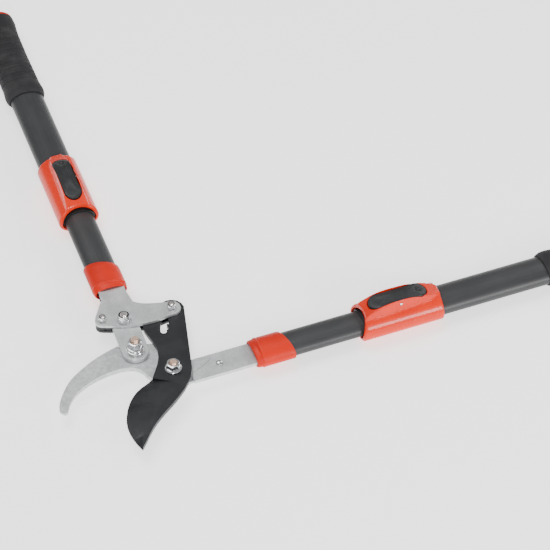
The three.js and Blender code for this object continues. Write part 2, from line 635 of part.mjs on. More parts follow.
// One telescopic handle in its own frame: x from the ferrule's front to the grip, z up.
// tails lists the [low, high] of each metal tail that enters it, and side is its outer side.
function buildHandle(label, group, side, tails) {
  const add = (name, geometry, finish) => addPiece(`${name}_${label}`, geometry, finish, group);
  const ferruleA = innerA + 2.4;
  const ferruleB = innerB + 2.6;
  const half = strapWidth / 2 + 0.4;
  const tailLow = tails[0][0];
  const tailHigh = tails[tails.length - 1][1];

  const ferrule = cut(
    ovalBar([
      [0, ferruleA - 2.4, ferruleB - 2.6],
      [1.2, ferruleA - 0.6, ferruleB - 0.7],
      [4, ferruleA, ferruleB],
      [ferruleLength + 8, ferruleA - 0.3, ferruleB - 0.3],
    ]),
    ovalBar([
      [innerTubeStart - 1, innerA + gap, innerB + gap],
      [ferruleLength + 20, innerA + gap, innerB + gap],
    ]),
    block(-2, innerTubeStart, -half, half, tailLow - gap, tailHigh + gap),
    plate(slantCutter(side), -40, 40),
  );
  add('ferrule', ferrule, matOrange);

  const lockHoles = [0, 1, 2, 3, 4].map((i) => rod(4.2, 0, 20, lockPinAt + (i * extension) / 4, 0, 20));
  const innerTube = cut(
    ovalSleeve([
      [innerTubeStart, innerA, innerB],
      [innerTubeEnd, innerA, innerB],
      [innerTubeEnd, innerA - tubeWall, innerB - tubeWall],
      [innerTubeStart, innerA - tubeWall, innerB - tubeWall],
    ]),
    ...lockHoles,
    rod(2.3, -20, 20, 26, 0, 20),
  );
  add('inner_tube', innerTube, greyTube);

  const insertA = innerA - tubeWall - gap;
  const insertB = innerB - tubeWall - gap;
  add('tang_insert', cut(
    ovalBar([[10, insertA, insertB], [62, insertA, insertB]]),
    ...tails.map(([low, high]) => block(8, 59, -tailHalf - gap, tailHalf + gap, low - gap, high + gap)),
    rod(2.3, -20, 20, 26, 0, 20),
  ), blackPlastic);
  add('tang_pin', rod(2, -innerB - 0.1, innerB + 0.1, 26, 0, 20), zincBolt);

  const plugA = outerA - tubeWall - 0.4;
  const plugB = outerB - tubeWall - gap;
  add('inner_tube_plug', ovalBar([
    [innerTubeEnd - 16, insertA - 1.5, insertB - 1.5],
    [innerTubeEnd - 14, insertA, insertB],
    [innerTubeEnd + gap, insertA, insertB],
    [innerTubeEnd + gap, plugA, plugB],
    [innerTubeEnd + 3.5, plugA, plugB],
  ]), blackPlastic);

  add('guide_bush', ovalSleeve([
    [bushStart, outerA, outerB],
    [bushEnd, outerA, outerB],
    [bushEnd, innerA + gap, innerB + gap],
    [bushStart, innerA + gap, innerB + gap],
  ]), blackPlastic);

  const outerTube = cut(
    ovalSleeve([
      [outerTubeStart, outerA, outerB],
      [closedReach - 4, outerA, outerB],
      [closedReach - 4, outerA - tubeWall, outerB - tubeWall],
      [outerTubeStart, outerA - tubeWall, outerB - tubeWall],
    ]),
    rod(4.4, 0, 20, lockPinAt, 0, 20),
  );
  add('outer_tube', outerTube, greyTube);

  // Collar with the hump that houses the lock button. Its mouth is open above the tube.
  const edgeRadius = 2.4;
  const rounding = (inFromEnd) => edgeRadius
    - Math.sqrt(edgeRadius ** 2 - Math.max(0, edgeRadius - inFromEnd) ** 2);
  const mouthDepth = 13;
  const boreA = outerA + gap;
  const boreB = outerB + gap;
  const hood = archTop - 4.3;
  const outside = [0, 0.006, 0.017, 0.03, 0.065, 0.12, 0.17, 0.23, 0.32, 0.45, 0.62, 0.7, 0.78, 0.85, 0.91,
    0.945, 0.978, 0.992, 1];
  const rows = outside.map((share) => {
    const x = collarStart + share * collarLength;
    const farEdge = rounding(collarEnd - x);
    const shrink = rounding(x - collarStart) + farEdge;
    const mouth = 6 * (1 - smoothStep(0, 0.3, share));
    const arch = archTop - shrink - 0.8 * farEdge;
    return { x, a: collarA - shrink, b: collarB - shrink, arch, mouth, humpTop: humpLevel(x) - shrink };
  });
  rows.push(
    { x: collarEnd, a: boreA, b: boreB, arch: boreB, mouth: 0, humpTop: 0 },
    { x: collarStart + mouthDepth, a: boreA, b: boreB, arch: boreB, mouth: 0, humpTop: 0 },
    { x: collarStart + mouthDepth - 1, a: boreA, b: boreB, arch: hood, mouth: 0, humpTop: 0 },
    { x: collarStart, a: boreA, b: boreB, arch: hood, mouth: 6, humpTop: 0 },
  );
  const floor = archTop + 0.3;
  const collar = cut(
    closedRows(rows.map((row) => collarRing({ ...row, side }))),
    plate(stadium(buttonLength + 2.4, buttonWidth + 0.8, buttonAt), floor, 60, 8),
    rod(4.4, 0, 40, lockPinAt, 0, 20),
    crossRod(1.6 + gap, 40, buttonAt, buttonAxisZ),
  );
  add('collar', collar, orangePlastic);

  // Rocker button: round-ended pad, crowned on top and bellied below. The lock pin is under its front end.
  const padUnder = floor + 1.6;
  const button = cut(
    buttonPad(padUnder),
    crossRod(1.6 + gap, 40, buttonAt, buttonAxisZ),
    new THREE.SphereGeometry(6, 20, 12).translate(buttonAt + 23, 0, humpLevel(buttonAt + 23) + 6),
  );
  add('lock_button', button, blackPlastic);
  add('button_pin', crossRod(1.6, buttonWidth + 3.4, buttonAt, buttonAxisZ), zincBolt);
  add('lock_pin', rod(3, innerB + gap + 0.1, padUnder - gap, lockPinAt, 0, 20), zincBolt);
  add('button_spring', coilSpring(3.4, 0.28, floor + gap, floor + gap + 1.9, springAt), zincBolt);

  // Grip, waisted in the middle, and its end cap
  const gripProfile = [
    [gripStart, outerA + 1, outerB + 1],
    [gripStart + 3, outerA + 3.2, outerB + 3],
    [gripStart + 10, outerA + 4, outerB + 4],
    [gripStart + 22, outerA + 2.6, outerB + 3.4],
    [gripStart + gripLength * 0.5, outerA + 2.2, outerB + 3.8],
    [gripStart + gripLength * 0.8, outerA + 3, outerB + 3.8],
    [closedReach - 12, outerA + 5, outerB + 4.4],
    [closedReach - 1, outerA + 4.4, outerB + 4],
    [closedReach - 1, outerA + gap, outerB + gap],
    [gripStart, outerA + gap, outerB + gap],
  ];
  add('grip', ovalSleeve(gripProfile), softGrip);
  add('end_cap', ovalBar([[closedReach - 18, outerA - tubeWall - 0.6, outerB - tubeWall - 0.6],
    [closedReach - 1 + gap, outerA - tubeWall - gap, outerB - tubeWall - gap],
    [closedReach - 1 + gap, outerA + 4.2, outerB + 3.8], [closedReach + 3, outerA + 4, outerB + 3.6],
    [closedReach + 6, outerA + 1.5, outerB + 1.5]]), matOrange);
}

// Everything past the ferrule's slanted back end
function slantCutter(side) {
  const reachOut = 60;
  const lean = (ferruleSlant * reachOut) / innerA;
  return new THREE.Shape(points([
    [ferruleLength + lean, side * reachOut],
    [ferruleLength - lean, -side * reachOut],
    [ferruleLength + 60, -side * reachOut],
    [ferruleLength + 60, side * reachOut],
  ]));
}

// Round bar across the handle
function crossRod(radius, length, x, z) {
  return new THREE.CylinderGeometry(radius, radius, length, 20).translate(x, 0, z);
}

function buttonPad(padUnder) {
  const r = buttonWidth / 2;
  const straight = buttonLength / 2 - r;
  const arc = Array.from({ length: 13 }, (unused, i) => ((i - 6) * Math.PI) / 12);
  const ringAt = (scale, level) => {
    const end = arc.map((angle) => [scale * (straight + r * Math.cos(angle)), scale * r * Math.sin(angle)]);
    const edge = [0.75, 0.45, 0.15, -0.15, -0.45, -0.75]
      .map((share) => [scale * straight * share, scale * r]);
    const half = [...end, ...edge];
    return [...half, ...half.map(([dx, dy]) => [-dx, -dy])]
      .map(([dx, dy]) => [buttonAt + dx, dy, level((2 * dx) / buttonLength)]);
  };
  const under = (v) => padUnder + 2.6 * Math.max(0, v) ** 2;
  const rim = (v) => humpLevel(buttonAt + (v * buttonLength) / 2) - 0.2;
  const top = (v) => rim(v) + 1.3 - 0.4 * v * v;
  return closedStack([
    ringAt(0.3, under),
    ringAt(1, under),
    ringAt(1, rim),
    ringAt(0.95, (v) => rim(v) + 0.75 * (top(v) - rim(v))),
    ringAt(0.8, top),
    ringAt(0.5, (v) => top(v) + 0.2),
    ringAt(0.2, (v) => top(v) + 0.25),
  ]);
}

// Open coil spring standing on the floor of the button's pocket
class Helix extends THREE.Curve {
  constructor(radius, low, high, x, turns) {
    super();
    Object.assign(this, { radius, low, high, x, turns });
  }

  getPoint(t, target = new THREE.Vector3()) {
    const angle = 2 * Math.PI * this.turns * t;
    return target.set(this.x + this.radius * Math.cos(angle), this.radius * Math.sin(angle),
      this.low + (this.high - this.low) * t);
  }
}

function coilSpring(radius, wire, low, high, x) {
  const section = new THREE.Shape();
  section.absarc(0, 0, wire, 0, 2 * Math.PI, false);
  const path = new Helix(radius, low + wire, high - wire, x, 1.75);
  return new THREE.ExtrudeGeometry(section, {
    steps: 40,
    curveSegments: 3,
    bevelEnabled: false,
    extrudePath: path,
  });
}

buildHandle('right', rightHandle, -1, [
  [-strapThick / 2, strapThick / 2],
]);
buildHandle('left', leftHandle, 1, [
  [rearLow - leftAxisZ, rearTop - leftAxisZ],
  [frontLow - leftAxisZ, frontTop - leftAxisZ],
]);

export default product;
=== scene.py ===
import json
import math

import bmesh
import bpy
import numpy as np
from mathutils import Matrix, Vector


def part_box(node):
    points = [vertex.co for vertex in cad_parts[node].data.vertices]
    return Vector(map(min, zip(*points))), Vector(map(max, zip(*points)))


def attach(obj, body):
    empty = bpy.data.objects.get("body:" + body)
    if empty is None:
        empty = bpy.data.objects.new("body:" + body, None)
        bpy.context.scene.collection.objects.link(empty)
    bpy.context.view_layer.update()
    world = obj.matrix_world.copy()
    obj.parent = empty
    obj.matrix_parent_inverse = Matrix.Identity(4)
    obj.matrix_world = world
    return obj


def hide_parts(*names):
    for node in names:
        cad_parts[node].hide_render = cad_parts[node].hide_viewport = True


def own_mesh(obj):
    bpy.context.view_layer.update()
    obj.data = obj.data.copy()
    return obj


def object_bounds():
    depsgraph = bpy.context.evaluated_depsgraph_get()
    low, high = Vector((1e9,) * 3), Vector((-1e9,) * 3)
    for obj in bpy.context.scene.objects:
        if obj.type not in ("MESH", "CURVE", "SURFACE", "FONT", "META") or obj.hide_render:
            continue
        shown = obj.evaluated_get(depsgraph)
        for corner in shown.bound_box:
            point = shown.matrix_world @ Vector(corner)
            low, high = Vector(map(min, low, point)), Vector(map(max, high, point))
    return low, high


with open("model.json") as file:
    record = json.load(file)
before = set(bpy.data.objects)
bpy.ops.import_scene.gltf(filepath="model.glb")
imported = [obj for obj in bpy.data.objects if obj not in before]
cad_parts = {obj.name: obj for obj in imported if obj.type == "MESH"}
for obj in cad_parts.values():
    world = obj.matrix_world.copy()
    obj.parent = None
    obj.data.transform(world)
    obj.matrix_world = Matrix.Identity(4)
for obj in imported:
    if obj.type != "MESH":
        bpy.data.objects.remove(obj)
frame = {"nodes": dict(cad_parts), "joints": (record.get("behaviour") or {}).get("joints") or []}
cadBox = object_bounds()
mm = 0.001
print("frame loaded")


# Shader helper: wraps a socket, so that a sum or product on it adds a Math node
class Wire:
    def __init__(self, tree, socket=None):
        self.tree = tree
        self.socket = socket

    # makes any node: its settings go in first, then the values or links of its sockets
    def node(self, kind, settings=None, inputs=None, output=0):
        made = self.tree.nodes.new(kind)
        for name, value in (settings or {}).items():
            setattr(made, name, value)
        for name, value in (inputs or {}).items():
            if isinstance(value, Wire):
                self.tree.links.new(value.socket, made.inputs[name])
            else:
                made.inputs[name].default_value = value
        return Wire(self.tree, made.outputs[output])

    def maths(self, operation, first, second=0.0):
        return self.node("ShaderNodeMath", {"operation": operation}, {0: first, 1: second})

    def __add__(self, other): return self.maths("ADD", self, other)
    def __radd__(self, other): return self.maths("ADD", other, self)
    def __mul__(self, other): return self.maths("MULTIPLY", self, other)
    def __rmul__(self, other): return self.maths("MULTIPLY", other, self)

    def between(self, low, high):  # 0 below low, 1 above high, smooth between
        return self.node("ShaderNodeMapRange", {"interpolation_type": "SMOOTHSTEP"},
                         {"Value": self, "From Min": low, "From Max": high})

    def mix(self, first, second):  # colour: first where this is 0, second where it is 1
        first = first if isinstance(first, Wire) else (*first, 1)
        second = second if isinstance(second, Wire) else (*second, 1)
        return self.node("ShaderNodeMix", {"data_type": "RGBA"}, {0: self, 6: first, 7: second}, 2)

    def times(self, scale):  # vector times a vector
        return self.node("ShaderNodeVectorMath", {"operation": "MULTIPLY"}, {0: self, 1: scale})

    def noise(self, scale, detail=3.0, rough=0.55):  # soft cloudiness, scale lumps to the metre
        return self.node("ShaderNodeTexNoise", None,
                         {"Vector": self, "Scale": scale, "Detail": detail, "Roughness": rough})

    def spots(self, scale):  # distance to the nearest of scattered points
        return self.node("ShaderNodeTexVoronoi", None, {"Vector": self, "Scale": scale})


# One finish: makes the shader, hands its start wire and Object place to the recipe, and links the colour,
# roughness and height that come back. The bump is the height times its distance in metres.
def finish(name, recipe, metal=0.0, coat=0.0, coatRough=0.1, specular=0.5):
    made = bpy.data.materials.new(name)
    made.use_nodes = True
    tree = made.node_tree
    shader = tree.nodes["Principled BSDF"]
    shader.inputs["Metallic"].default_value = metal
    shader.inputs["Coat Weight"].default_value = coat
    shader.inputs["Coat Roughness"].default_value = coatRough
    shader.inputs["Specular IOR Level"].default_value = specular
    start = Wire(tree)
    place = start.node("ShaderNodeTexCoord", None, None, "Object")
    colour, rough, height, distance = recipe(start, place)
    bump = start.node("ShaderNodeBump", None, {"Height": height, "Distance": distance, "Strength": 1.0})
    tree.links.new(colour.socket, shader.inputs["Base Color"])
    tree.links.new(rough.socket, shader.inputs["Roughness"])
    tree.links.new(bump.socket, shader.inputs["Normal"])
    return made


def own(start, name, output="Vector"):  # a value stored on the piece's own points
    return start.node("ShaderNodeAttribute", {"attribute_name": name}, None, output)


# Moulded orange, glossy on the collars and satin on the ferrules and caps
glossLook = {"light": (0.78, 0.026, 0.0008), "deep": (0.72, 0.021, 0.0006),
             "rough": (0.27, 0.31), "grain": 8e-7}
satinLook = {"light": (0.66, 0.016, 0.001), "deep": (0.56, 0.012, 0.0008),
             "rough": (0.42, 0.48), "grain": 3e-6}


# Orange: cloud mixes light with deep, and rubs along the piece raise the roughness from low to high
def orangeRecipe(light, deep, rough, grain):
    low, high = rough

    def recipe(start, place):
        cloud = place.noise(38.0, 4.0)
        fine = place.noise(2600.0, 2.0)
        rubs = place.times((1, 1, 0.4)).noise(420.0, 5.0, 0.7)
        colour = cloud.between(0.35, 0.7).mix(light, deep)
        rough = low + (high - low) * rubs.between(0.42, 0.75)
        return colour, rough, fine + rubs * 0.2, grain
    return recipe


orangeGloss = finish("orangeGloss", orangeRecipe(**glossLook), coat=0.18, coatRough=0.07, specular=0.22)
orangeSatin = finish("orangeSatin", orangeRecipe(**satinLook), specular=0.22)

blackLook = {"light": (0.024, 0.026, 0.027), "dark": (0.014, 0.015, 0.016), "grain": 1.6e-5}


# Spark-eroded black plastic: cloud and pits mix dark with light, and the pits roughen it
def blackRecipe(start, place):
    cloud = place.noise(60.0, 3.0)
    pits = place.noise(2100.0, 3.0, 0.7)
    colour = (cloud * 0.7 + pits * 0.3).between(0.35, 0.65).mix(blackLook["dark"], blackLook["light"])
    return colour, 0.36 + pits * 0.2, pits, blackLook["grain"]


blackPlastic = finish("blackPlastic", blackRecipe, specular=0.35)


rubberLook = {"dark": (0.018, 0.018, 0.020), "worn": (0.034, 0.034, 0.036), "pebble": 4e-5}


# Soft grip: rubbed patches mix dark with worn, over fine pebbles
def rubberRecipe(start, place):
    pebbles = place.spots(900.0)
    worn = place.noise(45.0, 4.0)
    colour = worn.between(0.4, 0.7).mix(rubberLook["dark"], rubberLook["worn"])
    return colour, 0.66 + worn * 0.15, pebbles, rubberLook["pebble"]


gripRubber = finish("gripRubber", rubberRecipe, specular=0.3)


tubeLook = {"dark": (0.026, 0.027, 0.029), "light": (0.040, 0.041, 0.043), "grain": 5e-6}


# Anodised tube: drawn lines, 14 to the metre along it and 1600 round it, under a satin grey
def tubeRecipe(start, place):
    along = own(start, "along")
    lines = along.times((14, 1600, 1600)).noise(1.0, 4.0, 0.65)
    cloud = along.times((30, 60, 60)).noise(1.0, 3.0)
    fine = along.noise(3000.0, 2.0)
    colour = (lines * 0.6 + cloud * 0.4).between(0.3, 0.7).mix(tubeLook["dark"], tubeLook["light"])
    return colour, 0.36 + lines * 0.16, lines + fine * 0.5, tubeLook["grain"]


tubeGrey = finish("tubeGrey", tubeRecipe, metal=0.1)


zincLook = {"dark": (0.50, 0.51, 0.52), "light": (0.66, 0.67, 0.68), "fleck": (0.30, 0.30, 0.30),
            "grain": 7e-6}


# Stamped plate: rolled grain and faint blotches mix dark with light, with small dark flecks over them
def zincRecipe(start, place):
    grain = place.times((900, 240, 900)).noise(1.0, 4.0, 0.6)
    blotch = place.noise(70.0, 4.0)
    flecks = place.noise(1400.0, 2.0).between(0.66, 0.78)
    colour = (grain * 0.5 + blotch * 0.5).between(0.34, 0.66).mix(zincLook["dark"], zincLook["light"])
    flecked = flecks.mix(colour, zincLook["fleck"])
    return flecked, 0.36 + blotch * 0.2, grain + flecks * -0.5, zincLook["grain"]


zincPlate = finish("zincPlate", zincRecipe, metal=0.85)


forgedLook = {"dark": (0.44, 0.45, 0.46), "light": (0.66, 0.67, 0.68), "dent": 3e-5}


# Forged and tumbled steel: a mottled skin with shallow dents
def forgedRecipe(start, place):
    mottle = place.noise(240.0, 5.0, 0.62)
    dents = place.spots(330.0)
    cloud = place.noise(40.0, 3.0)
    colour = (mottle * 0.6 + cloud * 0.4).between(0.32, 0.68).mix(forgedLook["dark"], forgedLook["light"])
    return colour, 0.38 + mottle * 0.22, mottle + dents * 0.3, forgedLook["dent"]


forgedHook = finish("forgedHook", forgedRecipe, metal=0.85)


bladeLook = {"dark": (0.010, 0.011, 0.013), "light": (0.018, 0.019, 0.022), "grain": 5e-6}


# Low-friction coating: cloud mixes dark with light, and fine scratches across it change only its gloss
def bladeRecipe(start, place):
    fine = place.noise(1500.0, 4.0, 0.6)
    cloud = place.noise(50.0, 3.0)
    scratches = place.times((2600, 120, 400)).noise(1.0, 2.0)
    colour = cloud.between(0.35, 0.7).mix(bladeLook["dark"], bladeLook["light"])
    return colour, 0.30 + fine * 0.14 + scratches * 0.06, fine + scratches * 0.3, bladeLook["grain"]


bladeCoat = finish("bladeCoat", bladeRecipe, metal=0.1, specular=0.4)


darkLook = {"dark": (0.010, 0.011, 0.012), "light": (0.020, 0.021, 0.023), "grain": 8e-6}


# Blackened steel: cloud mixes dark with light over a fine grain
def darkRecipe(start, place):
    fine = place.noise(1200.0, 4.0, 0.65)
    cloud = place.noise(80.0, 3.0)
    colour = cloud.between(0.35, 0.7).mix(darkLook["dark"], darkLook["light"])
    return colour, 0.38 + fine * 0.2, fine, darkLook["grain"]


darkSteel = finish("darkSteel", darkRecipe, metal=0.2)


boltLook = {"dark": (0.60, 0.61, 0.62), "light": (0.80, 0.81, 0.82), "copper": (0.72, 0.52, 0.40),
            "copperDeep": (0.44, 0.27, 0.19), "ring": (0.03, 0.03, 0.035), "grain": 6e-6}


# Bright zinc, which turns copper by the piece's own tint and dark by its own ring value
def boltRecipe(start, place):
    fine = place.noise(1700.0, 4.0, 0.65)
    cloud = place.noise(300.0, 3.0)
    speckle = place.noise(2400.0, 2.0).between(0.48, 0.62)
    tint = own(start, "tint", "Fac")
    ring = own(start, "ring", "Fac")
    zinc = (fine * 0.4 + cloud * 0.6).between(0.32, 0.68).mix(boltLook["dark"], boltLook["light"])
    copper = speckle.mix(boltLook["copper"], boltLook["copperDeep"])
    colour = ring.mix(tint.mix(zinc, copper), boltLook["ring"])
    return colour, 0.12 + fine * 0.14 + tint * 0.25 + ring * 0.2, fine, boltLook["grain"]


boltZinc = finish("boltZinc", boltRecipe, metal=1.0)
print("finishes ready")


# Grid to mesh: points is rows x columns x 3 in millimetres. A face joins i, j to i + 1, j + 1, round the
# columns, and round the rows too where they close.
def gridMesh(name, points, closeRows=False):
    rows, columns = points.shape[:2]
    i = np.arange(rows if closeRows else rows - 1)[:, None]
    j = np.arange(columns)[None, :]
    nextI, nextJ = (i + 1) % rows, (j + 1) % columns
    faces = np.stack([i * columns + j, i * columns + nextJ, nextI * columns + nextJ, nextI * columns + j], -1)
    mesh = bpy.data.meshes.new(name)
    mesh.from_pydata(points.reshape(-1, 3).tolist(), [], faces.reshape(-1, 4).tolist())
    return tidyMesh(mesh)


# Merges points closer than reach, in millimetres, and turns the faces outwards, so that the volume is above 0
def tidyMesh(mesh, reach=0.002):
    work = bmesh.new()
    work.from_mesh(mesh)
    bmesh.ops.remove_doubles(work, verts=work.verts, dist=reach)
    bmesh.ops.dissolve_degenerate(work, edges=work.edges, dist=reach * 0.1)
    bmesh.ops.recalc_face_normals(work, faces=work.faces)
    if work.calc_volume(signed=True) < 0:
        bmesh.ops.reverse_faces(work, faces=work.faces)
    work.to_mesh(mesh)
    work.free()
    return mesh


def asObject(mesh):  # an object at the origin that shows the mesh
    made = bpy.data.objects.new(mesh.name, mesh)
    bpy.context.scene.collection.objects.link(made)
    return made


# Cuts the tool meshes out of a mesh, all in millimetres, and gives the new mesh
def carve(mesh, tools):
    piece = asObject(mesh)
    helpers = [asObject(tool) for tool in tools]
    for helper in helpers:
        step = piece.modifiers.new("cut", "BOOLEAN")
        step.object = helper
        step.operation = "DIFFERENCE"
        step.solver = "EXACT"
    bpy.context.view_layer.update()
    graph = bpy.context.evaluated_depsgraph_get()
    result = bpy.data.meshes.new_from_object(piece.evaluated_get(graph))
    for old in [piece, *helpers]:
        bpy.data.objects.remove(old)
    result.name = mesh.name
    return tidyMesh(result)


def readPoints(mesh):  # the mesh's points as an array of rows x, y, z
    flat = np.empty(len(mesh.vertices) * 3)
    mesh.vertices.foreach_get("co", flat)
    return flat.reshape(-1, 3)


def keepValue(mesh, name, values, kind="FLOAT"):  # stores one number or vector for each point
    layer = mesh.attributes.new(name, kind, "POINT")
    field = "vector" if kind == "FLOAT_VECTOR" else "value"
    layer.data.foreach_set(field, np.asarray(values, float).ravel())


# Puts a millimetre mesh in its place, gives it a finish, and ties it to its body and CAD node. Edges that
# turn by more than sharp degrees stay sharp, and a tube keeps its own frame for the lines along it.
def settle(mesh, place, nodeName, body, look, sharp=32.0):
    local = readPoints(mesh)
    mesh.vertices.foreach_set("co", place(local).ravel())
    if look is tubeGrey:
        keepValue(mesh, "along", local * mm, "FLOAT_VECTOR")
    mesh.shade_smooth()
    mesh.set_sharp_from_angle(angle=math.radians(sharp))
    mesh.materials.clear()
    mesh.materials.append(look)
    mesh.update()
    piece = asObject(mesh)
    piece.name = "look_" + nodeName
    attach(piece, body)
    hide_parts(nodeName)
    return piece


def smoothStep(low, high, value):  # 3t2 - 2t3 between low and high
    t = np.clip((value - low) / (high - low), 0, 1)
    return t * t * (3 - 2 * t)


# The two handles' own frames: x from the ferrule along the tube, z up, y across. The left one starts at its
# button's axis, less the same steps along the tube and up as on the right.
joints = {joint["name"]: joint for joint in frame["joints"]}
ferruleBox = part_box("ferrule_right")
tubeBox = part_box("inner_tube_right")
tubeMiddle = (tubeBox[0] + tubeBox[1]) / 2
rightAt = np.array([ferruleBox[0].x, tubeMiddle.y, tubeMiddle.z])
rockAt = np.array(joints["right_button_rock"]["pos_m"]) - rightAt
leftWay = np.array(joints["left_slide"]["axis"], float)
leftWay = leftWay / np.linalg.norm(leftWay)
leftAt = np.array(joints["left_button_rock"]["pos_m"]) - leftWay * rockAt[0] - np.array([0, 0, rockAt[2]])
handles = {
    "right": {"at": rightAt, "way": np.array([1.0, 0, 0]), "side": -1, "fixed": "fixed_side", "opening": 2.9},
    "left": {"at": leftAt, "way": leftWay, "side": 1, "fixed": "moving_arm", "opening": 6.6},
}


# Handle's own frame in millimetres to the row frame in metres: x, y, z times its three axes, plus its start
def placer(handle):
    across = np.cross([0, 0, 1.0], handle["way"])
    axes = np.stack([handle["way"], across, [0, 0, 1.0]])
    return lambda points: points * mm @ axes + handle["at"]


def rowPlace(points):  # millimetres in the row frame to metres
    return points * mm


# Profile round a handle: each row is [x, half width a, half height b, squareness n]. A point is
# a*sign(cos)|cos|^(2/n), b*sign(sin)|sin|^(2/n), which is an oval at n = 2 and nearly a box at n = 6.
def ovalRows(rows, columns=128):
    x, a, b, n = (np.array(rows, float).T)[:, :, None]
    angle = np.linspace(0, 2 * np.pi, columns, endpoint=False)[None, :]
    c, s = np.cos(angle), np.sin(angle)
    y = a * np.sign(c) * np.abs(c) ** (2 / n)
    z = b * np.sign(s) * np.abs(s) ** (2 / n)
    return np.stack([x + 0 * z, y, z], -1)


# Upright rod that cuts a hole at x: r cos, r sin, with the radius held between two levels
def uprightRod(radius, low, high, x):
    angle = np.linspace(0, 2 * np.pi, 48, endpoint=False)[None, :]
    r = np.array([0, radius, radius, 0])[:, None]
    z = np.array([low, low, high, high])[:, None]
    return gridMesh("rod", np.stack([x + r * np.cos(angle), r * np.sin(angle), z + 0 * angle], -1))


# Rod across the handle: r cos, r sin about (x, z), with its radius held between two chamfers
def crossRod(radius, half, x, z, columns=40, chamfer=0.0):
    angle = np.linspace(0, 2 * np.pi, columns, endpoint=False)[None, :]
    r = np.array([0, radius - chamfer, radius, radius, radius - chamfer, 0])[:, None]
    y = np.array([-half, -half, chamfer - half, half - chamfer, half, half])[:, None]
    return gridMesh("cross", np.stack([x + r * np.cos(angle), y + 0 * angle, z + r * np.sin(angle)], -1))


tube = {"outerA": 19.2, "outerB": 10.9, "wall": 1.2, "innerA": 16.5, "innerB": 9.15, "gap": 0.3,
        "innerFrom": 6, "innerTo": 462, "outerFrom": 130, "outerTo": 481, "rim": 0.4, "ease": 0.25,
        "holes": 5, "firstHole": 138.5, "holeStep": 70, "hole": 4.2, "outerHole": 4.4,
        "tangHole": 2.3, "tangHoleAt": 26, "cutTo": 20}
outerBore = [tube["outerA"] + tube["gap"], tube["outerB"] + tube["gap"]]
innerBore = [tube["innerA"] + tube["gap"], tube["innerB"] + tube["gap"]]


# Tube: one oval carried straight along, with its two rims eased, then back through the bore
def sleeveMesh(name, x0, x1, a, b):
    wall, ease = tube["wall"], tube["ease"]
    rows = [[x0, a - ease, b - ease, 2]]
    rows += [[x, a, b, 2] for x in np.linspace(x0 + tube["rim"], x1 - tube["rim"], 24)]
    rows += [[x1, a - ease, b - ease, 2], [x1, a - wall, b - wall, 2], [x0, a - wall, b - wall, 2]]
    return gridMesh(name, ovalRows(rows), closeRows=True)


# Rows of backEdge are [distance from the back, inset], and rows of lip are
# [x, inset of a, inset of b, squareness]
ferrule = {"length": 38, "slant": 4, "a": 18.9, "b": 11.75, "backEdge": [[0, 0.9], [0.25, 0.4], [0.9, 0.1]],
           "plain": [33, 28, 22, 16, 12, 9.5],
           "ridgeAt": 9, "ridgeWide": 2.6, "ridgeSide": 0.12, "ridgeTop": 0.6,
           "lip": [[6.1, 0.15, 0.5, 2], [5.7, 0.3, 1.1, 2], [5.0, 0.4, 1.5, 2], [3.6, 0.5, 1.9, 2],
                   [2.2, 0.7, 2.2, 2.05], [1.1, 1.0, 2.6, 2.1], [0.3, 1.6, 3.1, 2.15], [0.0, 2.2, 3.6, 2.2],
                   [0.2, 2.7, 4.0, 2.4]],
           "mouth": 15.9, "mouthAt": 0.8, "mouthEase": 0.4, "mouthDraft": 0.1, "recess": 2.6, "seat": 0.5}


# Ferrule: from the slanted back to a ridge that swells as a half sine, round the lip, then into the recessed
# face and the opening. Its back leans by slant*y/a, which fades out smoothly towards the front.
def ferruleMesh(handle):
    f, back, opening = ferrule, ferrule["length"], handle["opening"]
    inside, start = f["mouth"] - f["mouthDraft"], tube["innerFrom"]
    rows = [[back, *innerBore, 2]]
    rows += [[back - step, f["a"] - inset, f["b"] - inset, 2] for step, inset in f["backEdge"]]
    rows += [[x, f["a"], f["b"], 2] for x in f["plain"]]
    for u in np.linspace(0, 1, 9):
        swell = np.sin(np.pi * u)
        rows += [[f["ridgeAt"] - f["ridgeWide"] * u, f["a"] + f["ridgeSide"] * swell,
                  f["b"] + f["ridgeTop"] * swell, 2]]
    rows += [[x, f["a"] - side, f["b"] - top, n] for x, side, top, n in f["lip"]]
    rows += [[f["mouthAt"], f["mouth"], opening + f["mouthEase"], 5], [f["recess"], inside, opening, 6],
             [start - f["seat"], inside, opening, 6], [start - tube["gap"], *innerBore, 2]]
    points = ovalRows(rows, 144)
    lean = f["slant"] * handle["side"] * points[..., 1] / tube["innerA"]
    points[..., 0] += lean * smoothStep(start, back, points[..., 0])
    return gridMesh("ferrule", points, closeRows=True)


collar = {"from": 118.5, "length": 92.5, "a": 22.9, "b": 14.4, "arch": 18.5, "archDrop": 0.8,
          "slant": 1.3, "edge": 2.4, "mouthDepth": 13, "mouthReach": 6, "mouthFade": 0.3,
          "hood": 14.2, "hoodStep": 1, "hoodRun": 12,
          "hump": 10, "humpRise": 42, "fallFrom": 36.5, "fallPast": 7.5,
          "foot": 14, "footTaper": 0.03, "footPull": 3.4, "footPullOver": 14, "footSoft": 2.4,
          "crease": 0.45, "creaseWide": 0.75, "creaseOut": 0.1,
          "creaseIn": [0.05, 0.15], "creaseEnd": [0.8, 0.95]}
collar["to"] = collar["from"] + collar["length"]


# Hump's level: rises as 1-(1-t)^2 from the mouth, and falls smoothly at the far end
def humpLevel(x):
    s = x - collar["from"]
    rise = np.minimum(1, s / collar["humpRise"])
    fall = smoothStep(collar["length"] - collar["fallFrom"], collar["length"] + collar["fallPast"], s)
    return collar["arch"] + collar["hump"] * (1 - (1 - rise) ** 2) * (1 - fall)


